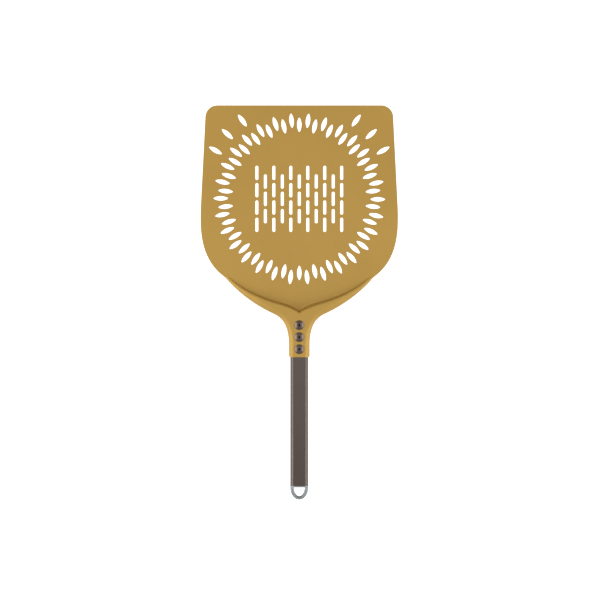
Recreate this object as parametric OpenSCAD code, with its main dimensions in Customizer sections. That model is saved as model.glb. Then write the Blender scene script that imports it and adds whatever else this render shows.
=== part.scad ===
// Short-handled perforated pizza peel.
// One pressed sheet makes the blade, the raised shoulder wings and the neck. The neck is a channel
// over the handle tube, and three blind rivets hold the two together. A cap with a hanging loop
// closes the rear of the tube.
// Frame: X is the width, +Y points to the blade's front edge, +Z is up. The blade's underside is
// Z = 0, and the origin is in the middle of the overall width and length.

/* [Blade] */
// Width of the blade at its widest
blade_w = 330; // [310:1:350]
// Width of the blade at its front edge
front_w = 314.5; // [300:0.5:320]
// Radius of the two front corners
corner_r = 20; // [10:1:35]
// Thickness of the sheet
sheet_t = 2; // [1.5:0.1:2.5]
// Length of the pressed sheet, from the front edge to the open end of the neck
head_l = 421; // [415:1:430]

/* [Perforation] */
// Distance from the front edge to the centre of the ring of slots
ring_setback = 156.5; // [152:0.5:162]
// Radius to the middle of the inner ring of slots
inner_ring_r = 124; // [121:0.5:127]
// Radius to the middle of the outer ring of slots
outer_ring_r = 131.5; // [129:0.5:133]
// Number of slots in each ring
ring_count = 30; // [24:1:30]
// Angle from an inner slot to the outer slot beside it
ring_stagger = 6.35; // [5.5:0.05:6.5]
// Radius to the middle of the six slots near the front corners
corner_slots_r = 162; // [160:0.5:164]
// Length of a leaf-shaped slot
leaf_l = 24; // [18:0.5:25]
// Width of a leaf-shaped slot
leaf_w = 7.6; // [5:0.1:8]
// Length of a straight slot in the middle of the blade
dash_l = 24; // [12:0.5:25]
// Width of a straight slot
dash_w = 5; // [3:0.1:6]
// Columns of straight slots on each side of the middle column
dash_side_columns = 5; // [1:1:5]

/* [Neck] */
// Rise of the neck's top above the blade's top face
neck_rise = 17.5; // [17:0.1:20]
// Radius of the crease behind the rings, from the ring centre
crease_r = 176; // [174:0.5:178]
// How far the crease runs back to its point on the centre line
crease_point = 13.3; // [10:0.1:15]
// Steepest slope of the pressed step, in degrees
step_slope = 80; // [65:1:82]
// Radius of the hollow foot of the step
step_foot_r = 4.5; // [3:0.5:8]
// Radius of the rounded brow of the step
step_brow_r = 3.4; // [3:0.1:5]
// Radius of the plan corners at the neck's open end
neck_end_r = 2.5; // [1:0.1:4]

/* [Handle] */
// Width of the handle tube
tube_w = 30; // [28:0.5:31]
// Height of the handle tube
tube_h = 16; // [15:0.5:17]
// Corner radius of the tube's section
tube_r = 7; // [5:0.5:7]
// Wall thickness of the tube
tube_wall = 1.5; // [1:0.1:2]
// Length of tube that shows behind the neck
tube_out = 214; // [120:1:400]
// Length of tube inside the neck
tube_in = 64; // [60:1:66]

/* [Rivets] */
// Distance from the neck's open end to the rear rivet
rivet_setback = 13.5; // [10:0.5:14]
// Distance between rivets
rivet_pitch = 20; // [18:0.5:20]
// Diameter of a rivet's domed flange
rivet_flange_d = 16; // [12:0.5:16.5]
// Height of the domed flange
rivet_flange_h = 3.6; // [2.4:0.1:4.2]
// Diameter of a rivet's shank
rivet_shank_d = 6.4; // [4.8:0.1:6.4]
// Diameter of the bore that the mandrel was pulled through
rivet_bore_d = 3.5; // [2.8:0.1:3.6]

/* [End cap] */
// How far the loop reaches behind the cap's flange
loop_l = 21; // [18:0.5:30]
// Thickness of the loop at its sides
loop_side = 5.9; // [4.5:0.1:6.5]
// Thickness of the loop at its far end
loop_end = 4.4; // [3.5:0.1:6]
// Height of the loop
loop_h = 13; // [8:0.5:14]
// Thickness of the flange between the tube and the loop
flange_t = 2.2; // [1.5:0.1:3]
// Length of the plug inside the tube
plug_l = 22; // [15:1:30]

/* [Hidden] */
$fn = 48;

// Colours
gold = "#b9934c";
bronze = "#5c504a";
pale_bronze = "#8a7566";
dark_steel = "#3c3a39";
grey_metal = "#8f9395";

// Places along the length
overall_l = head_l + tube_out + flange_t + loop_l;
front_y = overall_l / 2;
ring_y = front_y - ring_setback;
neck_end_y = front_y - head_l;
tube_front_y = neck_end_y + tube_in;
tube_rear_y = neck_end_y - tube_out;
flange_rear_y = tube_rear_y - flange_t;
rivet_y = [for (i = [2, 1, 0]) neck_end_y + rivet_setback + i * rivet_pitch];

// Heights and clearances
neck_gap = 0.4; // between the neck's side and the tube
neck_half = tube_w / 2 + neck_gap + sheet_t;
neck_roll_r = tube_r + neck_gap + sheet_t;
neck_top_z = sheet_t + neck_rise;
tube_top_z = neck_top_z - sheet_t;
tube_mid_z = tube_top_z - tube_h / 2;
rivet_clearance = 0.1;
rivet_hole_d = rivet_shank_d + rivet_clearance;
rivet_grip = sheet_t + tube_wall;
rivet_tail_h = 6; // length of the set rivet behind the tube's wall

// Fine steps for the outline and the pressed shape
corner_steps = 12;
side_steps = 20;
wing_steps = 22;
fillet_steps = 12;
apex_step = 4; // step of the neck's fillet that pairs with the point of the crease
foot_steps = 5;
brow_steps = 4;
roll_steps = 6;
lap = 1; // width of the flat strip that the pressed shape shares with the blade
lap_angle = 0.5;
brow_least_r = sheet_t + 0.2; // leaves a small radius on the underside of the brow

// Outline of the right half. Each curve's middle two points set its direction and fullness at its
// two ends.
tip_angle = 43.8; // where the wing starts, from the rearward axis at the ring centre
tip_r = 181;
crease_fade = 5.5; // angle over which the crease's point fades away
station_lag = 6; // power by which the stations fan out towards the point of the crease
plateau_lag = 3.5; // power by which the plateau's stations catch up with the rim
flare_l = ring_setback + 8; // length of blade over which its sides flare
flare = atan((blade_w - front_w) / 2 / flare_l);
side_start = [blade_w / 2 - 1, ring_y + 4];
side_pull = 44;
wing_tip = polar(tip_r, tip_angle);
wing_end = [42.6, ring_y - 192.6];
neck_start = [neck_half, ring_y - 246];

side_curve = [
    side_start,
    side_start + side_pull * [sin(flare), -cos(flare)],
    wing_tip + [46, 33.5],
    wing_tip,
];
wing_curve = [
    wing_tip,
    wing_tip + [-18.5, -21.5],
    wing_end + [38.3, 17.6],
    wing_end,
];
fillet_curve = [
    wing_end,
    wing_end + [-20, -9.2],
    neck_start + [0, 25.5],
    neck_start,
];

// Point at a radius and an angle from the rearward axis, about the ring centre
function polar(r, angle) = [r * sin(angle), ring_y - r * cos(angle)];

function bezier(c, t) =
    pow(1 - t, 3) * c[0]
    + 3 * pow(1 - t, 2) * t * c[1]
    + 3 * (1 - t) * t * t * c[2]
    + t * t * t * c[3];

// Points of a curve after its first one
function curve(c, steps) = [for (i = [1:steps]) bezier(c, i / steps)];

function arc(centre, r, from, to, steps) =
    [for (i = [0:steps]) centre + r * dir(from + (to - from) * i / steps)];

function dir(angle) = [cos(angle), sin(angle)];
function unit(v) = v / norm(v);
function mirrored(points) = [for (i = [len(points) - 1:-1:0]) flip_x(points[i])];
function flip_x(p) = [for (i = [0:len(p) - 1]) i == 0 ? 0 - p[0] : p[i]];

// The rim from just before the wing's tip to the neck's open end. Its first point is inside the
// blade, so that the pressed shape and the blade overlap there.
rim = concat(
    [polar(tip_r - 1.5 * lap, tip_angle + lap_angle), wing_tip],
    curve(wing_curve, wing_steps),
    curve(fillet_curve, fillet_steps),
    [[neck_half, neck_end_y]]
);
rim_last = len(rim) - 1;
apex = 1 + wing_steps + apex_step;
// Outward direction at rim point i
function outward(i) =
    let (a = rim[max(i - 1, 0)], b = rim[min(i + 1, rim_last)], d = unit(b - a))
    i >= rim_last - 1 ? [1, 0] : [-d[1], d[0]];
function rim_angle(i) = atan2(rim[i][0], ring_y - rim[i][1]);

// Station i of the pressed shape runs from the crease to rim point i. Stations fan out towards
// the point of the crease.
function crease_angle(i) =
    i < 2 ? tip_angle + (1 - i) * lap_angle
    : i >= apex ? 0
    : rim_angle(i) - rim_angle(apex)
        * pow((tip_angle - rim_angle(i)) / (tip_angle - rim_angle(apex)), station_lag);
function crease_radius(angle) = crease_r + crease_point * exp(-angle / crease_fade);
function rise(angle) = angle >= tip_angle ? 0 : neck_rise * cos(90 * angle / tip_angle);

// Profile of the step: the flat lap, a hollow foot, a straight and a rounded brow. It is a list
// of [run from the crease, height, slope].
function foot_r(h) = step_foot_r * sqrt(h / neck_rise);
function brow_r(h) = brow_least_r + (step_brow_r - brow_least_r) * sqrt(h / neck_rise);
function slope(h) = min(step_slope, acos(max(0, 1 - h / (foot_r(h) + brow_r(h)))));
function straight_l(h) =
    let (s = slope(h))
    s == 0 ? 0 : max(0, h - (foot_r(h) + brow_r(h)) * (1 - cos(s))) / sin(s);
function step_profile(h) =
    let (
        s = slope(h),
        half = straight_l(h) / 2,
        foot = foot_r(h),
        brow = brow_r(h),
        foot_x = -half * cos(s) - foot * sin(s),
        brow_x = half * cos(s) + brow * sin(s)
    )
    concat(
        [[foot_x - lap, sheet_t, 0]],
        [for (i = [0:foot_steps])
            let (a = s * i / foot_steps)
            [foot_x + foot * sin(a), sheet_t + foot * (1 - cos(a)), a]],
        [for (i = [brow_steps:-1:0])
            let (a = s * i / brow_steps)
            [brow_x - brow * sin(a), sheet_t + h - brow * (1 - cos(a)), a]]
    );
step_count = foot_steps + brow_steps + 3;

// Top and underside points of the step at one station
function step_points(angle, under) = [
    for (p = step_profile(rise(angle)))
        let (
            run = p[0] + (under ? sheet_t * sin(p[2]) : 0),
            z = p[1] - (under ? sheet_t * cos(p[2]) : 0),
            at = polar(crease_radius(angle) + run, angle)
        )
        [at[0], at[1], z]
];

// Inner end of the plateau: the brow of the step, or the centre line behind the crease's point
brow_y = polar(crease_radius(0) + step_profile(neck_rise)[step_count - 1][0], 0)[1];
function plateau_start(i) =
    i <= apex
    ? let (a = crease_angle(i))
        polar(crease_radius(a) + step_profile(rise(a))[step_count - 1][0], a)
    : let (
        lead = brow_y - rim[apex][1],
        left = max(0, (rim[i][1] - neck_start[1]) / (rim[apex][1] - neck_start[1]))
    )
        [0, rim[i][1] + lead * pow(left, plateau_lag)];

// Points of the rolled rim at one station: an arc, then a flank down to the blade's plane
function rim_points(i, under) =
    let (
        top = sheet_t + rise(crease_angle(i)),
        r = min(neck_roll_r, norm(rim[i] - plateau_start(i))),
        turn = top >= r ? 90 : acos((r - top) / (r - sheet_t)),
        out = outward(i),
        radius = under ? r - sheet_t : r,
        centre = rim[i] - r * sin(turn) * out
    )
    concat(
        [for (k = [0:roll_steps])
            let (a = turn * k / roll_steps, at = centre + radius * sin(a) * out)
            [at[0], at[1], top - r + radius * cos(a)]],
        [let (at = centre + radius * sin(turn) * out)
            [at[0], at[1], top >= r ? 0 : top - r + radius * cos(turn)]]
    );
rim_count = roll_steps + 2;

// One station's points, top or underside. Stations behind the crease's point have one point
// in place of the step.
function station(i, under) =
    i <= apex
    ? concat(step_points(crease_angle(i), under), rim_points(i, under))
    : let (a = plateau_start(i))
        concat([[a[0], a[1], neck_top_z - (under ? sheet_t : 0)]], rim_points(i, under));

// Points and faces of the whole pressed shape, for both sides and both skins
side_points = [
    for (under = [false, true])
        for (i = [0:rim_last])
            each station(i, under)
];
skin_size = len(side_points) / 2;
front_size = step_count + rim_count;
rear_size = 1 + rim_count;
// Index of column c, counted from the rim inwards, at station i of the top skin
function at(i, c) =
    i <= apex
    ? i * front_size + front_size - 1 - c
    : (apex + 1) * front_size + (i - apex - 1) * rear_size + rear_size - 1 - c;

function quad(a, b, c, d) = [[a, c, b], [a, d, c]];
function patch_faces(shift) = [
    for (i = [0:rim_last - 1])
        for (c = [0:(i < apex ? front_size : rear_size) - 2])
            each quad(
                at(i, c) + shift,
                at(i, c + 1) + shift,
                at(i + 1, c + 1) + shift,
                at(i + 1, c) + shift
            )
];
function edge_faces() = concat(
    // the rim's cut edge
    [for (i = [0:rim_last - 1])
        each quad(at(i, 0), at(i + 1, 0), at(i + 1, 0) + skin_size, at(i, 0) + skin_size)],
    // the front, where the step meets the blade
    [for (i = [0:apex - 1])
        each quad(
            at(i + 1, front_size - 1),
            at(i, front_size - 1),
            at(i, front_size - 1) + skin_size,
            at(i + 1, front_size - 1) + skin_size
        )],
    // the wing's tip
    [for (c = [0:front_size - 2])
        each quad(at(0, c + 1), at(0, c), at(0, c) + skin_size, at(0, c + 1) + skin_size)],
    // the neck's open end
    [for (c = [0:rear_size - 2])
        each quad(
            at(rim_last, c),
            at(rim_last, c + 1),
            at(rim_last, c + 1) + skin_size,
            at(rim_last, c) + skin_size
        )]
);
function turned(faces) = [for (f = faces) [f[0], f[2], f[1]]];
function moved(faces, by) = [for (f = faces) [f[0] + by, f[1] + by, f[2] + by]];
side_faces = concat(patch_faces(0), turned(patch_faces(skin_size)), edge_faces());

module pressed_shape() {
    polyhedron(
        points = concat(side_points, [for (p = side_points) flip_x(p)]),
        faces = concat(side_faces, turned(moved(side_faces, 2 * skin_size)))
    );
}

// Flat blade, up to the middle of the lap at the foot of the step
blade_half = concat(
    arc(
        [front_w / 2 - corner_r, front_y - corner_r],
        corner_r,
        90,
        flare,
        corner_steps
    ),
    [side_start],
    curve(side_curve, side_steps),
    [for (i = [0:apex])
        let (a = i == 0 ? tip_angle + lap_angle / 2 : crease_angle(i))
        polar(crease_radius(a) + step_profile(rise(a))[0][0] + lap / 2, a)]
);

module blade_outline() {
    polygon(concat(blade_half, mirrored(blade_half)));
}

// Leaf-shaped slot along Y: two large arcs that run smoothly into two small tips
module leaf_slot() {
    end_r = 1.2;
    gap = 20; // angle left between the end of a side and the start of a tip
    side_arc_steps = 8;
    end_arc_steps = 4;
    reach = leaf_l / 2 - end_r;
    half_w = leaf_w / 2;
    side_r = (reach * reach + half_w * half_w - end_r * end_r) / (2 * (half_w - end_r));
    side_x = side_r - half_w;
    join = atan2(reach, side_x);
    polygon(concat(
        arc([-side_x, 0], side_r, -join, join, side_arc_steps),
        arc([0, reach], end_r, join + gap, 180 - join - gap, end_arc_steps),
        arc([side_x, 0], side_r, 180 - join, 180 + join, side_arc_steps),
        arc([0, -reach], end_r, 180 + join + gap, 360 - join - gap, end_arc_steps)
    ));
}

module slot_ring(radius, start) {
    for (i = [0:ring_count - 1]) {
        rotate(start - i * 360 / ring_count) translate([0, radius]) leaf_slot();
    }
}

module dash_slot() {
    square([dash_w, dash_l - dash_w], center = true);
    for (side = [-1, 1]) {
        translate([0, side * (dash_l - dash_w) / 2]) circle(dash_w / 2);
    }
}

// Straight slots in columns, with every other column moved by half a pitch
module dash_field() {
    column_pitch = 14.2;
    row_gap = 5;
    row_pitch = dash_l + row_gap;
    for (column = [-dash_side_columns:dash_side_columns]) {
        rows = column % 2 == 0 ? 3 : 4;
        for (row = [0:rows - 1]) {
            translate([column * column_pitch, (row - (rows - 1) / 2) * row_pitch]) dash_slot();
        }
    }
}

module perforations() {
    corner_slot_angles = [36, 48, 60];
    translate([0, ring_y]) {
        slot_ring(inner_ring_r, 0);
        slot_ring(outer_ring_r, -ring_stagger);
        for (angle = corner_slot_angles, side = [-1, 1]) {
            rotate(side * angle) translate([0, corner_slots_r]) leaf_slot();
        }
        dash_field();
    }
}

module rivet_holes() {
    for (y = rivet_y) {
        translate([0, y, tube_mid_z]) cylinder(h = tube_h, d = rivet_hole_d);
    }
}

// Rounds the neck's two rear corners in plan
module neck_corner_cuts() {
    cut_h = 6 * neck_rise;
    for (side = [-1, 1]) {
        translate([side * (neck_half - neck_end_r), neck_end_y + neck_end_r, 0]) {
            difference() {
                translate([side * neck_end_r, -neck_end_r, 0]) {
                    cube([2 * neck_end_r, 2 * neck_end_r, cut_h], center = true);
                }
                cylinder(h = cut_h + 1, r = neck_end_r, center = true);
            }
        }
    }
}

module head() {
    color(gold)
    difference() {
        union() {
            linear_extrude(sheet_t) {
                difference() {
                    blade_outline();
                    perforations();
                }
            }
            pressed_shape();
        }
        rivet_holes();
        neck_corner_cuts();
    }
}

// Flat-sided oval section: w wide, h high, with corners of radius r
module oval_section(w, h, r) {
    square([w - 2 * r, h], center = true);
    square([w, h - 2 * r], center = true);
    for (x = [-1, 1], y = [-1, 1]) {
        translate([x * (w / 2 - r), y * (h / 2 - r)]) circle(r);
    }
}

// Extrudes a section rearwards from y, about the tube's axis
module along_handle(y, length) {
    translate([0, y, tube_mid_z]) rotate([90, 0, 0]) linear_extrude(length) children();
}

module handle_tube() {
    color(bronze)
    difference() {
        along_handle(tube_front_y, tube_in + tube_out) {
            difference() {
                oval_section(tube_w, tube_h, tube_r);
                oval_section(tube_w - 2 * tube_wall, tube_h - 2 * tube_wall, tube_r - tube_wall);
            }
        }
        rivet_holes();
    }
}

// Blind rivet: domed flange, shank, and the bulb that it set behind the tube's wall
module rivet(y) {
    flange_edge = 0.6;
    dome_h = rivet_flange_h - flange_edge;
    dome_r = (pow(rivet_flange_d / 2, 2) + dome_h * dome_h) / (2 * dome_h);
    bulb_h = 3.4;
    tail_l = rivet_grip + rivet_tail_h;
    overlap = 0.1;
    color(pale_bronze)
    translate([0, y, neck_top_z])
    difference() {
        union() {
            cylinder(h = flange_edge, d = rivet_flange_d);
            intersection() {
                translate([0, 0, rivet_flange_h - dome_r]) sphere(dome_r);
                cylinder(h = rivet_flange_h, d = rivet_flange_d);
            }
            translate([0, 0, -tail_l]) cylinder(h = tail_l + overlap, d = rivet_shank_d);
            // the bulb, in shares of the shank's diameter and of its own height
            rotate_extrude() {
                polygon([
                    [0, -rivet_grip],
                    [rivet_shank_d * 0.7, -rivet_grip],
                    [rivet_shank_d * 0.78, -rivet_grip - bulb_h * 0.35],
                    [rivet_shank_d * 0.7, -rivet_grip - bulb_h * 0.75],
                    [rivet_shank_d * 0.5, -rivet_grip - bulb_h],
                    [0, -rivet_grip - bulb_h],
                ]);
            }
        }
        translate([0, 0, -tail_l - 1]) {
            cylinder(h = tail_l + rivet_flange_h + 2, d = rivet_bore_d);
        }
    }
}

// Broken-off mandrel that stays in a set rivet: a stem, and a head against the rivet's tail
module mandrel(y) {
    stem_d = rivet_bore_d - 0.1;
    head_d = rivet_shank_d - 0.4;
    head_h = 2;
    stub_h = 0.4; // how far the broken end stands above the neck's top
    stem_l = rivet_grip + rivet_tail_h + stub_h;
    color(dark_steel)
    translate([0, y, neck_top_z - rivet_grip - rivet_tail_h]) {
        cylinder(h = stem_l, d = stem_d);
        translate([0, 0, -head_h]) cylinder(h = head_h, d1 = stem_d, d2 = head_d);
    }
}

module rivet_front() {
    rivet(rivet_y[0]);
}

module rivet_middle() {
    rivet(rivet_y[1]);
}

module rivet_rear() {
    rivet(rivet_y[2]);
}

module mandrel_front() {
    mandrel(rivet_y[0]);
}

module mandrel_middle() {
    mandrel(rivet_y[1]);
}

module mandrel_rear() {
    mandrel(rivet_y[2]);
}

// Hanging loop: a rounded band swept along half an ellipse, with its roots in the flange. It is
// kept inside the flange's outline.
cap_lip = 0.3;
flange_half_w = tube_w / 2 + cap_lip;
flange_half_h = tube_h / 2 + cap_lip;
flange_r = tube_r + cap_lip;
loop_inset = 0.2; // how far the loop's roots stay inside the flange's outline
loop_outer = [flange_half_w, loop_l];
loop_inner = [flange_half_w - loop_side, loop_l - loop_end];
loop_steps = 28;
loop_corner_steps = 3;
loop_round = 1.8;
loop_section = [
    [0.5, 0],
    for (corner = [0:3])
        let (
            across = corner == 0 || corner == 3 ? 1 : -1,
            up = corner < 2 ? 1 : -1
        )
        for (k = [0:loop_corner_steps])
            let (d = dir(corner * 90 + k * 90 / loop_corner_steps))
            [
                across * (0.5 - loop_round / loop_side) + d[0] * loop_round / loop_side,
                up * (loop_h / 2 - loop_round) + d[1] * loop_round,
            ]
];
// How far the loop may reach from the middle at a height from its middle
function loop_reach(height) =
    let (up = max(0, abs(height) - (flange_half_h - flange_r)))
    flange_half_w - flange_r + sqrt(flange_r * flange_r - up * up) - loop_inset;
// A point of the loop at an angle round the ellipse, at [share of the thickness, height]
function loop_point(angle, p, back) =
    let (
        share = p[0] + 0.5,
        half = loop_inner * (1 - share) + loop_outer * share,
        reach = loop_reach(p[1]),
        x = max(-reach, min(reach, half[0] * cos(angle)))
    )
    [x, flange_rear_y + back - half[1] * sin(angle), tube_mid_z + p[1]];
loop_points = concat(
    [for (p = loop_section) loop_point(0, p, flange_t / 2)],
    [for (i = [0:loop_steps]) for (p = loop_section) loop_point(180 * i / loop_steps, p, 0)],
    [for (p = loop_section) loop_point(180, p, flange_t / 2)]
);
loop_ring = len(loop_section);
loop_last = loop_steps + 2;

module loop() {
    polyhedron(
        points = loop_points,
        faces = concat(
            [[for (k = [0:loop_ring - 1]) k]],
            [for (i = [0:loop_last - 1], k = [0:loop_ring - 1])
                let (a = i * loop_ring + k, b = i * loop_ring + (k + 1) % loop_ring)
                each quad(a, b, b + loop_ring, a + loop_ring)],
            [[for (k = [loop_ring - 1:-1:0]) loop_last * loop_ring + k]]
        )
    );
}

// Plug: a thin-walled box with ribs that press on the tube's inner faces
module plug() {
    inner_w = tube_w - 2 * tube_wall;
    inner_h = tube_h - 2 * tube_wall;
    inner_r = tube_r - tube_wall;
    slack = 0.2;
    wall = 2;
    rib_w = 2;
    rib_spread = inner_w / 6;
    along_handle(tube_rear_y + plug_l, plug_l) {
        difference() {
            union() {
                oval_section(inner_w - 2 * slack, inner_h - 2 * slack, inner_r - slack);
                square([inner_w, rib_w], center = true);
                for (x = [-rib_spread, rib_spread]) {
                    translate([x, 0]) square([rib_w, inner_h], center = true);
                }
            }
            oval_section(inner_w - 2 * wall, inner_h - 2 * wall, inner_r - wall);
        }
    }
}

module end_cap() {
    color(grey_metal) {
        plug();
        along_handle(tube_rear_y, flange_t) {
            oval_section(2 * flange_half_w, 2 * flange_half_h, flange_r);
        }
        loop();
    }
}

head();
handle_tube();
rivet_front();
rivet_middle();
rivet_rear();
mandrel_front();
mandrel_middle();
mandrel_rear();
end_cap();
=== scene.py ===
"""A short-handled perforated pizza peel: its looks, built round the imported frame.

Lengths are in millimetres until a piece is finished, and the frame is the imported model's: X is the
width, +Y points to the blade's front edge and +Z is up.
"""

import math

import bmesh
import bpy
from mathutils import Matrix, Vector
from mathutils.geometry import delaunay_2d_cdt


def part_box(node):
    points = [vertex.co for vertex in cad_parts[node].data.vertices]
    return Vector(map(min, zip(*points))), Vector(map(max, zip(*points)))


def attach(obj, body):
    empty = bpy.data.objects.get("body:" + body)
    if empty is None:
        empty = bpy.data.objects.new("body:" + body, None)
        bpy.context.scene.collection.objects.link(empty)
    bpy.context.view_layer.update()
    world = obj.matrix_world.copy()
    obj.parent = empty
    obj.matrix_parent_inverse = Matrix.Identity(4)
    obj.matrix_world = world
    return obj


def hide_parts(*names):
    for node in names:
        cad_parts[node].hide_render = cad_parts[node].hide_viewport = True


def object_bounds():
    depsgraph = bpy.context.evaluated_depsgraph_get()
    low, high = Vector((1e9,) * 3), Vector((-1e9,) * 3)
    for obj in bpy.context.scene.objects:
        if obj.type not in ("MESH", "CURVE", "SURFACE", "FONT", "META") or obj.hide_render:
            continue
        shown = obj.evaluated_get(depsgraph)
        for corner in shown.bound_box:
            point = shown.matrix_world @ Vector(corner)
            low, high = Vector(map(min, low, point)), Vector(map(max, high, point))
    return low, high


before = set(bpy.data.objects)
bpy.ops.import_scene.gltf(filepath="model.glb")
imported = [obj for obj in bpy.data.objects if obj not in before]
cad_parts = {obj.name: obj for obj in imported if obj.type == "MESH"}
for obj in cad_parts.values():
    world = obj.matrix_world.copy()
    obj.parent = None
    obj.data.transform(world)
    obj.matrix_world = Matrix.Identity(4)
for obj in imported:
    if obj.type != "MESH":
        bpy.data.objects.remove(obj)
cad_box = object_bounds()

UP = Vector((0, 0, 1))
FORWARDS = Vector((0, 1, 0))
MM = 0.001


def box_mm(node):
    low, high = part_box(node)
    return low / MM, high / MM


head_low, head_high = box_mm("head")
tube_low, tube_high = box_mm("handle_tube")
cap_high = box_mm("end_cap")[1]

# ---------------------------------------------------------------- dimensions
# Sheet, blade and slots
SHEET_T = 2.0
BLADE_W = 330.0
FRONT_W = 314.5
CORNER_R = 20.0
RING_SETBACK = 156.5  # from the front edge to the centre of the rings
FLARE_L = RING_SETBACK + 8  # length of blade over which its sides flare
INNER_RING_R = 124.0
OUTER_RING_R = 131.5
RING_COUNT = 30
RING_STAGGER = 6.35  # degrees from an inner slot to the outer slot beside it
CORNER_SLOTS_R = 162.0
CORNER_SLOT_ANGLES = (36, 48, 60)
LEAF_L = 24.0
LEAF_W = 7.6
LEAF_TIP_R = 1.2
DASH_L = 24.0
DASH_W = 5.0
DASH_SIDE_COLUMNS = 5
DASH_COLUMN_PITCH = 14.2
DASH_ROW_GAP = 5.0

# Pressed shoulder and neck
CREASE_R = 176.0
CREASE_POINT = 13.3  # how far the crease runs back to its point on the centre line
CREASE_FADE = 5.5  # degrees over which that point fades away
STEP_SLOPE = math.radians(80)
STEP_FOOT_R = 4.5
STEP_BROW_R = 3.4
BROW_LEAST_R = SHEET_T + 0.2  # leaves a small radius on the underside of the brow
TIP_ANGLE = 43.8  # where the wing starts, in degrees from the rearward axis
TIP_R = 181.0
SIDE_PULL = 44.0
STATION_LAG = 6  # power by which the stations fan out towards the crease's point
PLATEAU_LAG = 3.5  # power by which the plateau's stations catch up with the rim
NECK_GAP = 0.4
NECK_END_R = 2.5
LAST_ROW_L = 6.0  # length of the last row of faces at the neck's open end
TUBE_R = 7.0
TUBE_WALL = 1.5
RIVET_HOLE_R = 3.25

# Rounding of the cut edges
SHEET_EDGE_R = 0.32
TUBE_EDGE_R = 0.25

# Fineness
EDGE_STEPS = 3
LEAF_SIDE_STEPS = 10
LEAF_TIP_STEPS = 8
DASH_END_STEPS = 12
HOLE_STEPS = 32
OVAL_STEPS = 12
CORNER_STEPS = 20
SIDE_STEPS = 50
WING_STEPS = 66
FILLET_STEPS = 36
APEX_STEP = FILLET_STEPS // 3
FOOT_STEPS = 9
BROW_STEPS = 7
ROLL_STEPS = 14

# Places worked out from the frame
front_y = head_high.y
ring_y = front_y - RING_SETBACK
neck_end_y = head_low.y
neck_top_z = head_high.z
neck_rise = neck_top_z - SHEET_T
tube_half_w = tube_high.x
tube_top_z = tube_high.z
tube_mid_z = (tube_low.z + tube_high.z) / 2
tube_half_h = tube_top_z - tube_mid_z
neck_half = tube_half_w + NECK_GAP + SHEET_T
neck_roll_r = TUBE_R + NECK_GAP + SHEET_T
flare = math.atan((BLADE_W - FRONT_W) / 2 / FLARE_L)
rivets = {place: box_mm(f"rivet_{place}") for place in ("front", "middle", "rear")}
rivet_centres = {place: (low + high) / 2 for place, (low, high) in rivets.items()}


# ---------------------------------------------------------------- plane geometry
def direction(degrees):
    return Vector((math.cos(math.radians(degrees)), math.sin(math.radians(degrees))))


def polar(radius, degrees):
    """A point by radius and angle from the rearward axis, about the centre of the slot rings."""
    turn = math.radians(degrees)
    return Vector((radius * math.sin(turn), ring_y - radius * math.cos(turn)))


def bezier(ends, t):
    a, b, c, d = ends
    s = 1 - t
    return s**3 * a + 3 * s * s * t * b + 3 * s * t * t * c + t**3 * d


def curve(ends, steps):
    """Points of a curve after its first one."""
    return [bezier(ends, i / steps) for i in range(1, steps + 1)]


def arc(centre, radius, start, stop, steps):
    """(point, direction from the centre) along an arc, both ends included."""
    ways = [direction(start + (stop - start) * i / steps) for i in range(steps + 1)]
    return [(centre + radius * way, way) for way in ways]


def solid(point, height):
    return Vector((point.x, point.y, height))


def upright(point, y):
    """A point at y from a point of an upright section, whose middle is the tube's."""
    return Vector((point.x, y, tube_mid_z + point.y))


def anticlockwise(indices, points):
    pairs = zip(indices, indices[1:] + indices[:1])
    area = sum(points[a].x * points[b].y - points[b].x * points[a].y for a, b in pairs)
    return indices if area > 0 else indices[::-1]


def flipped(point):
    other = point.copy()
    other.x = -point.x
    return other


def grown(loop, distance):
    """The points of a loop of (point, outward direction), moved outwards."""
    return [point + way * distance for point, way in loop]


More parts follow.
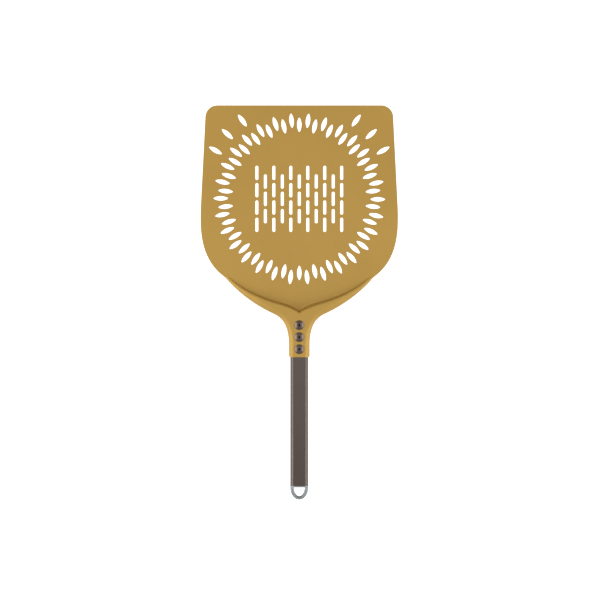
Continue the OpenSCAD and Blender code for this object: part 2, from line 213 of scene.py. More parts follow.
# ---------------------------------------------------------------- pieces
class Shell:
    """The points and faces of one closed piece. Points in one place are joined at the end."""

    JOIN = 0.002
    SMOOTH_COS = math.cos(math.radians(42))

    def __init__(self, data=None):
        self.mesh = bmesh.new()
        if data:
            self.mesh.from_mesh(data)
        face_layers = self.mesh.faces.layers.int
        vertex_layers = self.mesh.verts.layers.float
        self.flat = face_layers.get("flat") or face_layers.new("flat")
        self.mark = vertex_layers.get("mark") or vertex_layers.new("mark")

    def point(self, place, mark=0.0):
        vertex = self.mesh.verts.new(place)
        vertex[self.mark] = mark
        return vertex

    def grid(self, rows, closed=False, marks=None):
        """Quads between rows of points. closed joins the last row to the first, and marks says for
        each column how strongly its material's second look shows, from 0 to 1."""
        marks = marks or [0.0] * len(rows[0])
        made = [[self.point(place, mark) for place, mark in zip(row, marks)] for row in rows]
        pairs = list(zip(made, made[1:] + made[:1] if closed else made[1:]))
        for near, far in pairs:
            for k in range(len(near) - 1):
                self.mesh.faces.new((near[k], near[k + 1], far[k + 1], far[k]))

    def fill(self, loops, place):
        """A flat face inside the first loop and outside the others. place turns a plane point
        into a point of the piece."""
        points = [point for loop in loops for point in loop]
        starts = [sum(len(loop) for loop in loops[:i]) for i in range(len(loops))]
        outlines = [
            anticlockwise(list(range(start, start + len(loop))), points)
            for start, loop in zip(starts, loops)
        ]
        _, _, faces, sources, _, insides = delaunay_2d_cdt(points, [], outlines, 0, 1e-7, True)
        made = [self.point(place(points[source[0]])) for source in sources]
        for face, inside in zip(faces, insides):
            if inside == [0]:
                self.mesh.faces.new([made[i] for i in face])[self.flat] = 1

    def cut_edge(self, ribs, thickness, radius):
        """The rounded cut edge of a sheet. A rib is (point of the top skin, its normal, direction
        out of the sheet)."""
        section = edge_section(thickness, radius)
        marks = [near for _, _, near in section]
        self.grid([edge_row(rib, section) for rib in ribs], closed=True, marks=marks)

    def lathe(self, section, centre, steps, marks=None):
        """Turns a section about the upright line through centre. section gives its (radius,
        height) points for an angle in degrees."""
        rows = []
        for i in range(steps):
            degrees = 360 * i / steps
            way = direction(degrees)
            rows.append([centre + solid(r * way, z) for r, z in section(degrees)])
        self.grid(rows, closed=True, marks=marks)

    def join(self):
        bmesh.ops.remove_doubles(self.mesh, verts=self.mesh.verts, dist=self.JOIN)
        loose = [v for v in self.mesh.verts if not v.link_faces]
        bmesh.ops.delete(self.mesh, geom=loose, context="VERTS")
        bmesh.ops.recalc_face_normals(self.mesh, faces=self.mesh.faces)

    def corner_normals(self):
        """A normal for each face corner: flat faces stay flat, and the rest is smooth where the
        faces meet at less than the smoothing angle."""
        found = []
        weights = {f: f.calc_area() for f in self.mesh.faces}
        for face in self.mesh.faces:
            for vertex in face.verts:
                near = [f for f in vertex.link_faces if f.normal.dot(face.normal) > self.SMOOTH_COS]
                flats = [f for f in near if f[self.flat]]
                total = Vector()
                for f in flats or near:
                    total += f.normal * max(weights[f], 1e-6)
                found.append(face.normal.copy() if face[self.flat] else total.normalized())
        return found

    def piece(self, name, material, slot, *nodes):
        """Makes the Blender object, in metres, that stands for CAD nodes."""
        self.join()
        normals = self.corner_normals()
        data = bpy.data.meshes.new(name)
        self.mesh.to_mesh(data)
        self.mesh.free()
        data.transform(Matrix.Scale(MM, 4))
        data.polygons.foreach_set("use_smooth", [True] * len(data.polygons))
        data.normals_split_custom_set(normals)
        data.materials.append(material)
        made = bpy.data.objects.new(name, data)
        bpy.context.scene.collection.objects.link(made)
        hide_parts(*nodes)
        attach(made, "root")
        return made


def edge_section(thickness, radius):
    """(depth, inset, nearness to the middle of the rounding) down a sheet's cut edge."""
    top = []
    for k in range(EDGE_STEPS + 1):
        turn = math.pi / 2 * k / EDGE_STEPS
        near = math.sin(2 * turn)
        top.append((radius * (1 - math.cos(turn)), radius * (1 - math.sin(turn)), near))
    middle = [(thickness * share, 0.0, 0.0) for share in (0.3, 0.5, 0.7)]
    under = [(thickness - depth, inset, near) for depth, inset, near in reversed(top)]
    return top + middle + under


def edge_row(rib, section):
    """The points down a cut edge at one rib."""
    point, normal, out = rib
    return [point - normal * depth - out * inset for depth, inset, _ in section]


# ---------------------------------------------------------------- slots
def leaf_loop():
    """A leaf-shaped slot along Y: two large arcs that run smoothly into two small tips."""
    reach = LEAF_L / 2 - LEAF_TIP_R
    half_w = LEAF_W / 2
    side_r = (reach**2 + half_w**2 - LEAF_TIP_R**2) / (2 * (half_w - LEAF_TIP_R))
    side_x = side_r - half_w
    join = math.degrees(math.atan2(reach, side_x))
    return (
        arc(Vector((-side_x, 0)), side_r, -join, join, LEAF_SIDE_STEPS)[:-1]
        + arc(Vector((0, reach)), LEAF_TIP_R, join, 180 - join, LEAF_TIP_STEPS)[:-1]
        + arc(Vector((side_x, 0)), side_r, 180 - join, 180 + join, LEAF_SIDE_STEPS)[:-1]
        + arc(Vector((0, -reach)), LEAF_TIP_R, 180 + join, 360 - join, LEAF_TIP_STEPS)[:-1]
    )


def dash_loop():
    """A straight slot along Y with round ends."""
    end = Vector((0, (DASH_L - DASH_W) / 2))
    front_end = arc(end, DASH_W / 2, 0, 180, DASH_END_STEPS)
    rear_end = arc(-end, DASH_W / 2, 180, 360, DASH_END_STEPS)
    return front_end + rear_end


def rivet_hole_loops():
    return [
        arc(centre.xy, RIVET_HOLE_R, 0, 360, HOLE_STEPS)[:-1] for centre in rivet_centres.values()
    ]


def placed(loop, place, degrees=0.0):
    """Moves a loop to a place, and turns both about the centre of the rings."""
    turn = Matrix.Rotation(math.radians(degrees), 2)
    centre = Vector((0, ring_y))
    return [(centre + turn @ (point + Vector(place)), turn @ way) for point, way in loop]


def slot_loops():
    leaf = leaf_loop()
    dash = dash_loop()
    loops = []
    for i in range(RING_COUNT):
        step = i * 360 / RING_COUNT
        loops.append(placed(leaf, (0, INNER_RING_R), -step))
        loops.append(placed(leaf, (0, OUTER_RING_R), -RING_STAGGER - step))
    for angle in CORNER_SLOT_ANGLES:
        loops.append(placed(leaf, (0, CORNER_SLOTS_R), angle))
        loops.append(placed(leaf, (0, CORNER_SLOTS_R), -angle))
    row_pitch = DASH_L + DASH_ROW_GAP
    for column in range(-DASH_SIDE_COLUMNS, DASH_SIDE_COLUMNS + 1):
        rows = 3 if column % 2 == 0 else 4
        for row in range(rows):
            back = (row - (rows - 1) / 2) * row_pitch
            loops.append(placed(dash, (column * DASH_COLUMN_PITCH, back)))
    return loops


# ---------------------------------------------------------------- the head's outline and rim
# The right half. Each curve's middle two points set its direction and fullness at its two ends.
side_start = Vector((BLADE_W / 2 - 1, ring_y + 4))
side_way = Vector((math.sin(flare), -math.cos(flare)))
wing_tip = polar(TIP_R, TIP_ANGLE)
wing_end = Vector((42.6, ring_y - 192.6))
neck_start = Vector((neck_half, ring_y - 246))
neck_end = Vector((neck_half, neck_end_y))
side_curve = (
    side_start,
    side_start + SIDE_PULL * side_way,
    wing_tip + Vector((46, 33.5)),
    wing_tip,
)
wing_curve = (
    wing_tip,
    wing_tip + Vector((-18.5, -21.5)),
    wing_end + Vector((38.3, 17.6)),
    wing_end,
)
fillet_curve = (
    wing_end,
    wing_end + Vector((-20, -9.2)),
    neck_start + Vector((0, 25.5)),
    neck_start,
)

corner_centre = Vector((FRONT_W / 2 - CORNER_R, front_y - CORNER_R))
corner = arc(corner_centre, CORNER_R, 90, math.degrees(flare), CORNER_STEPS)
side = [side_start] + curve(side_curve, SIDE_STEPS)
rim = [wing_tip] + curve(wing_curve, WING_STEPS) + curve(fillet_curve, FILLET_STEPS)
rim += [neck_end + LAST_ROW_L * FORWARDS.xy, neck_end]
last = len(rim) - 1
apex = WING_STEPS + APEX_STEP


def outward_ways(points, first_way):
    """The outward direction at each point of a line that runs rearwards on the right."""
    ways = [first_way]
    for a, b in zip(points, points[2:]):
        way = (b - a).normalized()
        ways.append(Vector((-way.y, way.x)))
    return ways + [Vector((1, 0))]


side_and_rim = side + rim[1:]
side_and_rim_ways = outward_ways(side_and_rim, corner[-1][1])
side_ways = side_and_rim_ways[: len(side)]
rim_ways = side_and_rim_ways[len(side) - 1 :]
rim_ways[-2] = Vector((1, 0))


def rim_degrees(i):
    return math.degrees(math.atan2(rim[i].x, ring_y - rim[i].y))


def crease_degrees(i):
    """The angle of the crease point that pairs with rim point i."""
    if i == 0:
        return TIP_ANGLE
    if i >= apex:
        return 0.0
    share = (TIP_ANGLE - rim_degrees(i)) / (TIP_ANGLE - rim_degrees(apex))
    return rim_degrees(i) - rim_degrees(apex) * share**STATION_LAG


def crease_radius(degrees):
    return CREASE_R + CREASE_POINT * math.exp(-degrees / CREASE_FADE)


def rise(degrees):
    if degrees >= TIP_ANGLE:
        return 0.0
    return neck_rise * math.cos(math.pi / 2 * degrees / TIP_ANGLE)


def step_section(height):
    """(run from the crease, height, slope) up the pressed step: a hollow foot, a straight and a
    rounded brow."""
    share = math.sqrt(height / neck_rise)
    foot_r = STEP_FOOT_R * share
    brow_r = BROW_LEAST_R + (STEP_BROW_R - BROW_LEAST_R) * share
    slope = min(STEP_SLOPE, math.acos(max(0.0, 1 - height / (foot_r + brow_r))))
    spare = height - (foot_r + brow_r) * (1 - math.cos(slope))
    half = max(0.0, spare) / math.sin(slope) / 2 if slope else 0.0
    foot_x = -half * math.cos(slope) - foot_r * math.sin(slope)
    brow_x = half * math.cos(slope) + brow_r * math.sin(slope)
    section = []
    for i in range(FOOT_STEPS + 1):
        turn = slope * i / FOOT_STEPS
        climb = foot_r * (1 - math.cos(turn))
        section.append((foot_x + foot_r * math.sin(turn), SHEET_T + climb, turn))
    for i in range(BROW_STEPS, -1, -1):
        turn = slope * i / BROW_STEPS
        fall = brow_r * (1 - math.cos(turn))
        section.append((brow_x - brow_r * math.sin(turn), SHEET_T + height - fall, turn))
    return section


def step_row(i, depth=0.0):
    """The points of the step at one station, from its foot to its brow, at a depth in the sheet."""
    degrees = crease_degrees(i)
    row = []
    for run, height, slope in step_section(rise(degrees)):
        plan = polar(crease_radius(degrees) + run + depth * math.sin(slope), degrees)
        row.append(solid(plan, height - depth * math.cos(slope)))
    return row


def plateau_start(i):
    """The inner end of the plateau at a station: the brow, or the centre line behind it."""
    if i <= apex:
        return step_row(i)[-1].xy
    lead = step_row(apex)[-1].y - rim[apex].y
    left = max(0.0, (rim[i].y - neck_start.y) / (rim[apex].y - neck_start.y))
    return Vector((0, rim[i].y + lead * left**PLATEAU_LAG))


class Roll:
    """The rolled rim at one station: an arc from the plateau, then a flank down to z = 0."""

    def __init__(self, i):
        self.way = solid(rim_ways[i], 0)
        self.top = SHEET_T + rise(crease_degrees(i))
        self.radius = min(neck_roll_r, (rim[i] - plateau_start(i)).length)
        high = self.top >= self.radius
        self.flank = self.top - self.radius if high else 0.0
        ratio = (self.radius - self.top) / (self.radius - SHEET_T)
        self.turn = math.pi / 2 if high else math.acos(min(1.0, ratio))
        axis = solid(rim[i], self.top - self.radius)
        self.axis = axis - self.way * self.radius * math.sin(self.turn)

    def at(self, back, depth):
        """The point of the skin at a depth, a distance back from the sheet's cut edge."""
        radius = self.radius - depth
        if back < self.flank:
            return self.axis + self.way * radius + UP * (back - self.flank)
        turn = self.turn - (back - self.flank) / radius
        flat = max(0.0, -turn) * radius
        turn = max(0.0, turn)
        out = radius * math.sin(turn) - flat
        return self.axis + self.way * out + UP * radius * math.cos(turn)

    def row(self, depth):
        """Points from the plateau to just short of the cut edge."""
        arc_l = (self.radius - depth) * self.turn
        stops = [self.flank + arc_l * (1 - k / ROLL_STEPS) for k in range(ROLL_STEPS + 1)]
        stops += [2.5 * SHEET_EDGE_R, SHEET_EDGE_R]
        stops = [max(stop, SHEET_EDGE_R) for stop in stops]
        return [self.at(stop, depth) for stop in sorted(stops, reverse=True)]


def at_open_end(point, inset):
    """Moves a point to the neck's open end, which is straight with corners rounded in plan."""
    past = max(0.0, abs(point.x) - (neck_half - NECK_END_R))
    corner_y = NECK_END_R - math.sqrt(max(0.0, NECK_END_R**2 - past**2))
    return Vector((point.x, neck_end_y + corner_y + inset, point.z))


def blade_ribs():
    """Ribs down the right side of the blade's cut edge, from the front corner to the wing."""
    outline = corner + list(zip(side[:-1], side_ways))
    return [(solid(point, SHEET_T), UP, solid(way, 0)) for point, way in outline]


def hole_ribs(loop, height):
    """Ribs round a slot or hole in a flat sheet whose top is at a height."""
    return [(solid(point, height), UP, -solid(way, 0)) for point, way in loop]


def outer_edge(rolls, section):
    """Rows down the cut edge of the whole head: the right side, the right half of the neck's open
    end, and the same on the left."""
    rows = [edge_row(rib, section) for rib in blade_ribs()]
    rows += [[roll.at(inset, depth) for depth, inset, _ in section] for roll in rolls[:-1]]
    end = rolls[-1]
    rows.append([
        at_open_end(end.at(0.0, depth), inset) + UP * inset for depth, inset, _ in section
    ])
    skins = list(zip(end.row(0.0), end.row(SHEET_T)))
    for top, under in reversed(skins[:-1]):
        rows.append([
            at_open_end(top.lerp(under, depth / SHEET_T), inset) for depth, inset, _ in section
        ])
    return rows + [[flipped(p) for p in row] for row in reversed(rows)]


def build_head(material):
    shell = Shell()
    rolls = [Roll(i) for i in range(last + 1)]
    slots = slot_loops()
    holes = rivet_hole_loops()

    # the pressed step, the plateau behind it and the rolled rim, on both sides and skins
    for depth in (0.0, SHEET_T):
        steps = [step_row(i, depth) for i in range(apex + 1)]
        rims = [roll.row(depth) for roll in rolls]
        rims[last] = [at_open_end(p, SHEET_EDGE_R) for p in rims[last]]
        plateau = [[step[-1], roll[0]] for step, roll in zip(steps, rims)]
        for rows in (steps, plateau, rims):
            shell.grid(rows)
            shell.grid([[flipped(p) for p in row] for row in rows])

    # the flat blade and the flat top of the neck, whose outlines are the same on both skins
    blade = [(point - out * SHEET_EDGE_R).xy for point, _, out in blade_ribs()]
    blade += [rim[0] - rim_ways[0] * SHEET_EDGE_R, rims[0][0].xy]
    blade += [step[0].xy for step in steps]
    blade += [flipped(p) for p in reversed(blade[:-1])]
    neck_top = [steps[apex][-1].xy] + [row[0].xy for row in rims[apex:]]
    neck_top += [flipped(p) for p in reversed(neck_top[1:])]
    for outline, loops, height in ((blade, slots, SHEET_T), (neck_top, holes, neck_top_z)):
        flat = [outline] + [grown(loop, SHEET_EDGE_R) for loop in loops]
        for depth in (0.0, SHEET_T):
            shell.fill(flat, lambda p: solid(p, height - depth))
        for loop in loops:
            shell.cut_edge(hole_ribs(loop, height), SHEET_T, SHEET_EDGE_R)

    section = edge_section(SHEET_T, SHEET_EDGE_R)
    shell.grid(outer_edge(rolls, section), closed=True, marks=[near for _, _, near in section])
    return shell.piece("peel_head", material, "gold_anodised", "head")


# ---------------------------------------------------------------- handle tube
def oval_loop(half_w, half_h, radius):
    """(point, outward direction) round a flat-sided oval, from the right end of its top."""
    loop = []
    for x, y, start in ((1, 1, 90), (1, -1, 0), (-1, -1, -90), (-1, 1, -180)):
        centre = Vector((x * (half_w - radius), y * (half_h - radius)))
        loop += arc(centre, radius, start, start - 90, OVAL_STEPS)
    return loop


def build_tube(material):
    shell = Shell()
    front, rear = tube_high.y, tube_low.y
    outer = oval_loop(tube_half_w, tube_half_h, TUBE_R)
    holes = rivet_hole_loops()
    ends = (front - TUBE_EDGE_R, rear + TUBE_EDGE_R)
    for depth in (0.0, TUBE_WALL):
        skin = grown(outer, -depth)
        shell.grid([[upright(p, y) for y in ends] for p in skin])
        right, left = skin[0].x, skin[-1].x
        panel = [Vector((right, y)) for y in ends] + [Vector((left, y)) for y in reversed(ends)]
        widened = [grown(loop, TUBE_EDGE_R) for loop in holes]
        shell.fill([panel] + widened, lambda p: solid(p, tube_top_z - depth))
    for loop in holes:
        shell.cut_edge(hole_ribs(loop, tube_top_z), TUBE_WALL, TUBE_EDGE_R)
    for y, out in ((front, FORWARDS), (rear, -FORWARDS)):
        ribs = [(upright(p, y), Vector((way.x, 0, way.y)), out) for p, way in outer]
        shell.cut_edge(ribs, TUBE_WALL, TUBE_EDGE_R)
    return shell.piece("handle_tube_skin", material, "bronze_anodised", "handle_tube")


# ---------------------------------------------------------------- rivets and mandrels
RIVET_SHANK_R = 3.2
RIVET_BORE_R = 1.75
RIVET_TAIL = 6.0
RIVET_GRIP = SHEET_T + TUBE_WALL
RIVET_STEPS = 72
DOME_STEPS = 20
FLANGE_EDGE = 0.6
FLANGE_ROUND = 0.35
FLANGE_CHAMFER = 0.15
BORE_CHAMFER = 0.3
BULB_H = 3.4
# (share of the shank's radius, share of the bulb's height) down the bulb
BULB = ((1.4, 0.0), (1.52, 0.15), (1.56, 0.35), (1.52, 0.55), (1.4, 0.75), (1.2, 0.9), (1.0, 1.0))
STEM_SLACK = 0.05
STEM_BEVEL = 0.15
STEM_STEPS = 48
MANDREL_HEAD_H = 2.0
MANDREL_HEAD_BEVEL = 0.2
BREAK_H = 0.5


def rivet_section(flange_r, top):
    """(radius, height above the neck) round half of a set rivet, from the foot of its bore."""
    dome_h = top - FLANGE_EDGE
    dome_r = (flange_r**2 + dome_h**2) / (2 * dome_h)
    mouth_r = RIVET_BORE_R + BORE_CHAMFER
    tail = RIVET_GRIP + RIVET_TAIL

    def dome_z(radius):
        return top - dome_r + math.sqrt(dome_r**2 - radius**2)

    section = [(RIVET_BORE_R, -tail), (RIVET_BORE_R, dome_z(RIVET_BORE_R) - BORE_CHAMFER)]
    mouth = arc(Vector((mouth_r, dome_z(mouth_r) - BORE_CHAMFER)), BORE_CHAMFER, 180, 90, 3)
    section += [tuple(point) for point, _ in mouth[1:]]
    dome_l = flange_r - 1.6 * FLANGE_ROUND - mouth_r  # stops short of the brim's rounding
    for k in range(1, DOME_STEPS + 1):
        radius = mouth_r + dome_l * k / DOME_STEPS
        section.append((radius, dome_z(radius)))
    brim_centre = Vector((flange_r - FLANGE_ROUND, FLANGE_EDGE - 0.4 * FLANGE_ROUND))
    section += [tuple(point) for point, _ in arc(brim_centre, FLANGE_ROUND, 40, 0, 2)]
    section += [(flange_r, FLANGE_CHAMFER), (flange_r - FLANGE_CHAMFER, 0.0)]
    section += [(RIVET_SHANK_R, 0.0), (RIVET_SHANK_R, -RIVET_GRIP)]
    section += [(RIVET_SHANK_R * out, -RIVET_GRIP - BULB_H * down) for out, down in BULB]
    return section + [(RIVET_SHANK_R, -tail), section[0]]


def build_rivet(place, material):
    low, high = rivets[place]
    section = rivet_section((high.x - low.x) / 2, high.z - neck_top_z)
    # Points inside the bore get mark 1, and the material paints the bore's wall near-black: painted
    # shade down the hole.
    bore_shade_r = RIVET_BORE_R + BORE_CHAMFER / 3
    marks = [1.0 if radius < bore_shade_r else 0.0 for radius, _ in section]
    shell = Shell()
    shell.lathe(lambda _: section, solid(rivet_centres[place], neck_top_z), RIVET_STEPS, marks)
    return shell.piece(f"rivet_{place}_set", material, "rivet_bronze", f"rivet_{place}")


def build_mandrel(place, material):
    """The broken stem and the head of the mandrel that stays in a set rivet."""
    low, high = box_mm(f"mandrel_{place}")
    stem_r = RIVET_BORE_R - STEM_SLACK
    head_r = (high.x - low.x) / 2
    head_top = low.z + MANDREL_HEAD_H

    def section(degrees):
        """(radius, height) up the mandrel, with a ragged break at the top."""
        turn = math.radians(degrees)
        points = [
            (0.0, low.z),
            (0.9 * stem_r, low.z),
            (stem_r, low.z + STEM_BEVEL),
            (head_r, head_top - MANDREL_HEAD_BEVEL),
            (head_r - MANDREL_HEAD_BEVEL, head_top),
            (stem_r, head_top),
            (stem_r, high.z - BREAK_H),
        ]
        for share in (0.97, 0.8, 0.55, 0.3):  # of the stem's radius, inwards over the break
            ragged = 0.1 * math.sin(3 * turn + 5 * share) + 0.06 * math.sin(7 * turn - 9 * share)
            fall = 0.22 - ragged * share + 0.1 * (1 - share)
            points.append((stem_r * share, high.z - fall))
        return points + [(0.0, high.z - 0.34)]

    shell = Shell()
    shell.lathe(section, solid(rivet_centres[place], 0), STEM_STEPS)
    return shell.piece(f"mandrel_{place}_stem", material, "mandrel_steel", f"mandrel_{place}")


# ---------------------------------------------------------------- end cap
CAP_LIP = 0.3
LOOP_L = 21.0
FLANGE_T = 2.2
LOOP_SIDE = 5.9
LOOP_END = 4.4
LOOP_H = 13.0
LOOP_ROUND = 1.8
LOOP_INSET = 0.2
LOOP_STEPS = 72
LOOP_ROUND_STEPS = 6
FLANGE_BEVEL = 0.5
PLUG_BEVEL = 0.3
PLUG_WALL = 2.0
PLUG_SLACK = 0.2
flange_rear_y = tube_low.y - FLANGE_T
root_y = tube_low.y - FLANGE_T / 2
loop_outer = Vector((cap_high.x, LOOP_L))
loop_inner = loop_outer - Vector((LOOP_SIDE, LOOP_END))


def extruded(front, rear, rounding, outside, *hollows):
    """A closed block with the given (point, outward direction) loops, from front to rear in Y.
    Its hollows go right through."""
    shell = Shell()
    walls = [outside] + [[(point, -way) for point, way in hollow] for hollow in hollows]
    ends = [grown(wall, -rounding) for wall in walls]
    for y in (front, rear):
        shell.fill(ends, lambda p: upright(p, y))
    for wall in walls:
        ribs = [(upright(p, front), FORWARDS, Vector((out.x, 0, out.y))) for p, out in wall]
        shell.cut_edge(ribs, front - rear, rounding)
    return shell


def loop_reach(height):
    """How far the loop may reach from the middle at a height from its middle."""
    radius = TUBE_R + CAP_LIP
    up = max(0.0, abs(height) - (tube_half_h - TUBE_R))
    return cap_high.x - radius + math.sqrt(radius**2 - up**2) - LOOP_INSET


def loop_section():
    """(share of the band's thickness from its middle, height from its middle) round the band."""
    flat_h = LOOP_H / 2 - LOOP_ROUND
    round_share = LOOP_ROUND / LOOP_SIDE
    section = [(0.5, flat_h * k / 4) for k in range(-3, 4)]
    for right, up, start in ((1, 1, 0), (-1, 1, 90), (-1, -1, 180), (1, -1, 270)):
        for k in range(LOOP_ROUND_STEPS + 1):
            way = direction(start + 90 * k / LOOP_ROUND_STEPS)
            across = right * (0.5 - round_share) + way.x * round_share
            section.append((across, up * flat_h + way.y * LOOP_ROUND))
    return section


def loop_shell():
    """The hanging loop: a rounded band swept along half an ellipse, rooted in the flange and kept
    inside the flange's outline."""
    section = loop_section()

    def ring(degrees, y):
        way = direction(degrees)
        places = []
        for across, up in section:
            half = loop_inner.lerp(loop_outer, across + 0.5)
            reach = loop_reach(up)
            x = max(-reach, min(reach, half.x * way.x))
            places.append(upright(Vector((x, up)), y - half.y * way.y))
        return places

    rings = [ring(180 * i / LOOP_STEPS, flange_rear_y) for i in range(LOOP_STEPS + 1)]
    rings = [ring(0, root_y)] + rings + [ring(180, root_y)]
    shell = Shell()
    shell.grid([row + row[:1] for row in rings])
    for row in (rings[0], rings[-1]):
        shell.mesh.faces.new([shell.point(p) for p in row])
    return shell


def plug_shell():
    """The plug: a thin-walled box inside the tube, drawn without the ribs that hold it."""
    outer, inner = (
        oval_loop(tube_half_w - inset, tube_half_h - inset, TUBE_R - inset)
        for inset in (TUBE_WALL + PLUG_SLACK, TUBE_WALL + PLUG_WALL)
    )
    return extruded(cap_high.y, root_y, PLUG_BEVEL, outer, inner)


def flange_shell():
    loop = oval_loop(tube_half_w + CAP_LIP, tube_half_h + CAP_LIP, TUBE_R + CAP_LIP)
    return extruded(tube_low.y, flange_rear_y, FLANGE_BEVEL, loop)


def joined(shells):
    """One shell from several that overlap, by exact union."""
    objects = []
    for i, shell in enumerate(shells):
        shell.join()
        data = bpy.data.meshes.new(f"part_{i}")
        shell.mesh.to_mesh(data)
        shell.mesh.free()
        objects.append(bpy.data.objects.new(f"part_{i}", data))
        bpy.context.scene.collection.objects.link(objects[-1])
    for other in objects[1:]:
        union = objects[0].modifiers.new("union", "BOOLEAN")
        union.operation = "UNION"
        union.solver = "EXACT"
        union.object = other
    bpy.context.view_layer.update()
    evaluated = objects[0].evaluated_get(bpy.context.evaluated_depsgraph_get())
    whole = Shell(evaluated.to_mesh())
    for made in objects:
        bpy.data.objects.remove(made)
    return whole


def on_inner_wall(place):
    """Whether a point is on the wall of the loop's opening."""
    back = flange_rear_y - place.y
    inside = (place.x / loop_inner.x) ** 2 + (back / loop_inner.y) ** 2 < 1.01
    return inside and back > 0.5 and abs(place.z - tube_mid_z) < LOOP_H / 2


def build_cap(material):
    whole = joined([flange_shell(), loop_shell(), plug_shell()])
    # The wall of the loop's opening gets mark 1, which the material paints dark and dull: painted
    # shade inside the opening.
    for vertex in whole.mesh.verts:
        vertex[whole.mark] = 1.0 if on_inner_wall(vertex.co) else 0.0
    return whole.piece("end_cap_loop", material, "cap_grey", "end_cap")


# ---------------------------------------------------------------- materials
class Surface:
    """A node material with a Principled shader, and helpers that add nodes to it."""

    def __init__(self, name, **values):
        self.material = bpy.data.materials.new(name)
        self.material.use_nodes = True
        self.nodes = self.material.node_tree.nodes
        self.links = self.material.node_tree.links
        self.shader = self.nodes["Principled BSDF"]
        for socket, value in values.items():
            self.shader.inputs[socket.replace("_", " ")].default_value = value
        self.place = self.nodes.new("ShaderNodeTexCoord").outputs["Object"]

    def link(self, source, target):
        self.links.new(source, target)

    def feed(self, source, socket):
        """Links a node's output to one of the shader's sockets."""
        self.link(source, self.shader.inputs[socket])

    def stretched(self, scale):
        mapping = self.nodes.new("ShaderNodeMapping")
        mapping.inputs["Scale"].default_value = scale
        self.link(self.place, mapping.inputs["Vector"])
        return mapping.outputs["Vector"]

    def noise(self, scale, detail=3.0, stretch=None, distortion=0.0):
        node = self.nodes.new("ShaderNodeTexNoise")
        node.inputs["Scale"].default_value = scale
        node.inputs["Detail"].default_value = detail
        node.inputs["Distortion"].default_value = distortion
        self.link(self.stretched(stretch) if stretch else self.place, node.inputs["Vector"])
        return node.outputs["Fac"]

    def ranged(self, source, low, high, start=0.3, stop=0.7):
        node = self.nodes.new("ShaderNodeMapRange")
        self.link(source, node.inputs["Value"])
        node.inputs["From Min"].default_value = start
        node.inputs["From Max"].default_value = stop
        node.inputs["To Min"].default_value = low
        node.inputs["To Max"].default_value = high
        return node.outputs["Result"]

    def math(self, operation, a, b):
        node = self.nodes.new("ShaderNodeMath")
        node.operation = operation
        for socket, value in zip(node.inputs, (a, b)):
            if isinstance(value, (int, float)):
                socket.default_value = value
            else:
                self.link(value, socket)
        return node.outputs["Value"]

    def mixed(self, share, a, b):
        node = self.nodes.new("ShaderNodeMix")
        node.data_type = "RGBA"
        self.link(share, node.inputs["Factor"])
        for socket, value in zip([s for s in node.inputs if s.type == "RGBA"], (a, b)):
            if isinstance(value, tuple):
                socket.default_value = (*value, 1)
            else:
                self.link(value, socket)
        return [s for s in node.outputs if s.type == "RGBA"][0]

    def attribute(self, name):
        node = self.nodes.new("ShaderNodeAttribute")
        node.attribute_name = name
        return node.outputs["Fac"]

    def bumps(self, *layers):
        """Adds bump layers of (height, distance in metres, strength)."""
        normal = None
        for height, distance, strength in layers:
            node = self.nodes.new("ShaderNodeBump")
            node.inputs["Distance"].default_value = distance
            node.inputs["Strength"].default_value = strength
            self.link(height, node.inputs["Height"])
            if normal:
                self.link(normal, node.inputs["Normal"])
            normal = node.outputs["Normal"]
        self.feed(normal, "Normal")


def gold_anodised():
    s = Surface("gold_anodised", Metallic=1.0, Coat_Weight=0.35, Coat_Roughness=0.4)
    tone = s.ranged(s.noise(7, 4), 0, 1)
    grain = s.noise(2600, 2)
    colour = s.mixed(tone, (0.390, 0.243, 0.0525), (0.418, 0.262, 0.0590))
    bare = s.ranged(s.noise(420, 5), 0, 0.35, 0.5, 0.68)
    wear = s.math("MULTIPLY", s.attribute("mark"), bare)
    s.feed(s.mixed(wear, colour, (0.60, 0.50, 0.34)), "Base Color")
    smears = s.ranged(s.noise(16, 6, (1, 0.35, 1), 0.6), -0.025, 0.03)
    fine = s.ranged(grain, -0.02, 0.02)
    s.feed(s.math("ADD", s.math("ADD", smears, fine), 0.66), "Roughness")
    s.bumps((grain, 0.00002, 0.35), (s.noise(60, 3), 0.0001, 0.08))
    return s.material


def bronze_anodised():
    s = Surface("bronze_anodised", Metallic=1.0)
    tone = s.ranged(s.noise(9, 4, (1, 0.3, 1)), 0, 1)
    s.feed(s.mixed(tone, (0.088, 0.070, 0.063), (0.100, 0.080, 0.071)), "Base Color")
    lines = s.noise(900, 3, (1, 0.006, 1))
    grain = s.noise(2200, 2)
    rough = s.math("ADD", s.ranged(lines, -0.03, 0.03), s.ranged(s.noise(22, 5), -0.02, 0.03))
    s.feed(s.math("ADD", rough, 0.35), "Roughness")
    s.bumps((lines, 0.00002, 0.3), (grain, 0.00001, 0.3))
    return s.material


def rivet_bronze():
    s = Surface("rivet_bronze", Metallic=1.0)
    tone = s.ranged(s.noise(300, 3), 0, 1)
    colour = s.mixed(tone, (0.105, 0.078, 0.064), (0.130, 0.097, 0.079))
    # Where mark is 1, on the bore's wall, the colour is painted near-black: painted shade down the
    # hole.
    s.feed(s.mixed(s.attribute("mark"), colour, (0.010, 0.009, 0.008)), "Base Color")
    s.feed(s.ranged(s.noise(700, 4), 0.24, 0.32), "Roughness")
    s.bumps((s.noise(1600, 3), 0.00002, 0.3),)
    return s.material


def mandrel_steel():
    s = Surface("mandrel_steel", Metallic=1.0)
    tone = s.ranged(s.noise(1200, 4), 0, 1)
    # The near-black colour is partly the steel's own dark colour and partly painted shade, standing
    # in for the dark deep in the rivet's bore.
    s.feed(s.mixed(tone, (0.012, 0.011, 0.010), (0.035, 0.032, 0.030)), "Base Color")
    s.feed(s.ranged(s.noise(2000, 3), 0.45, 0.7), "Roughness")
    s.bumps((s.noise(2500, 4), 0.00006, 0.6),)
    return s.material


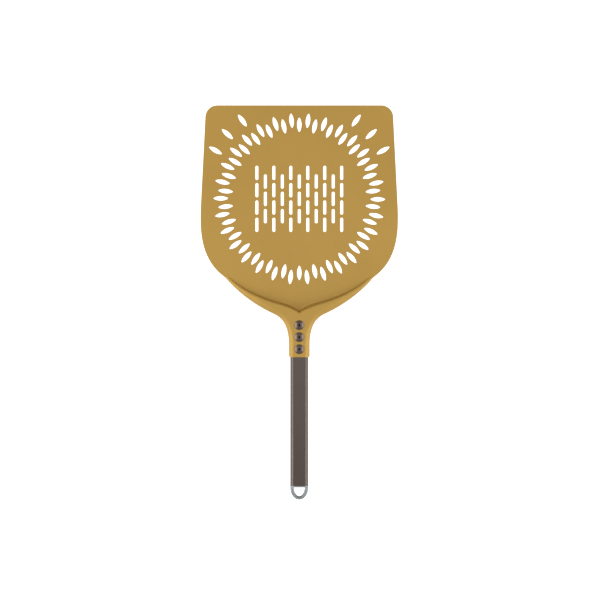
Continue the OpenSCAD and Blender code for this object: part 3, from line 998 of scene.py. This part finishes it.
def cap_grey():
    s = Surface("cap_grey", Metallic=1.0)
    tone = s.ranged(s.noise(120, 4), 0, 1)
    colour = s.mixed(tone, (0.235, 0.250, 0.258), (0.275, 0.290, 0.298))
    # Where mark is 1, on the wall of the loop's opening, the colour is painted dark and dull:
    # painted shade inside the opening.
    inner = s.attribute("mark")
    s.feed(s.mixed(inner, colour, (0.040, 0.043, 0.045)), "Base Color")
    s.feed(s.ranged(inner, 1, 0, 0, 1), "Metallic")
    s.feed(s.ranged(inner, 0.5, 0, 0, 1), "Specular IOR Level")
    s.feed(s.ranged(s.noise(500, 4), 0.42, 0.52), "Roughness")
    s.bumps((s.noise(900, 4), 0.00004, 0.3), (s.noise(180, 2), 0.0001, 0.12))
    return s.material


def floor_white():
    s = Surface(
        "floor_white",
        Base_Color=(0.45, 0.45, 0.45, 1),
        Roughness=0.6,
        Emission_Color=(1, 1, 1, 1),
        Emission_Strength=1.0,
    )
    s.bumps((s.noise(40, 2), 0.0002, 0.05),)
    return s.material


# ---------------------------------------------------------------- build
build_head(gold_anodised())
build_tube(bronze_anodised())
rivet_material = rivet_bronze()
mandrel_material = mandrel_steel()
for rivet_place in rivets:
    build_rivet(rivet_place, rivet_material)
    build_mandrel(rivet_place, mandrel_material)
build_cap(cap_grey())

# ---------------------------------------------------------------- stage, in metres
FLOOR_SIZE = 12.0
CAMERA_HEIGHT = 2.4
CAMERA_SHIFT = Vector((0.0012, 0.0033))
VIEW_WIDTH = 1.0048


def add_floor():
    mesh = bmesh.new()
    bmesh.ops.create_grid(mesh, x_segments=1, y_segments=1, size=FLOOR_SIZE / 2)
    data = bpy.data.meshes.new("floor")
    mesh.to_mesh(data)
    mesh.free()
    data.materials.append(floor_white())
    made = bpy.data.objects.new("floor", data)
    made.location = (0, 0, cad_box[0].z - 0.0002)
    bpy.context.scene.collection.objects.link(made)


def add_light(name, place, target, size, power):
    data = bpy.data.lights.new(name, "AREA")
    data.shape = "RECTANGLE"
    data.size, data.size_y = size
    data.energy = power
    made = bpy.data.objects.new(name, data)
    made.location = place
    made.rotation_euler = (Vector(target) - Vector(place)).to_track_quat("-Z", "Y").to_euler()
    made.visible_camera = False
    bpy.context.scene.collection.objects.link(made)


def add_world(strength):
    world = bpy.data.worlds.new("studio")
    bpy.context.scene.world = world
    world.use_nodes = True
    background = world.node_tree.nodes["Background"]
    background.inputs["Color"].default_value = (1, 1, 1, 1)
    background.inputs["Strength"].default_value = strength


def add_camera():
    data = bpy.data.cameras.new("camera")
    data.lens = data.sensor_width * CAMERA_HEIGHT / VIEW_WIDTH
    data.clip_start = 0.05
    data.clip_end = 50
    made = bpy.data.objects.new("camera", data)
    made.location = (CAMERA_SHIFT.x, CAMERA_SHIFT.y, CAMERA_HEIGHT)
    bpy.context.scene.collection.objects.link(made)
    bpy.context.scene.camera = made


add_floor()
add_world(0.78)
add_light("overhead", (0, 0.02, 1.5), (0, 0.02, 0), (0.6, 0.6), 1.2)
for side_name, side_x, side_power in (("left_box", -1.5, 27), ("right_box", 1.5, 23)):
    add_light(side_name, (side_x, 0, 0.95), (0, 0, 0), (2.4, 1.05), side_power)
add_camera()
bpy.context.scene.view_settings.view_transform = "Standard"
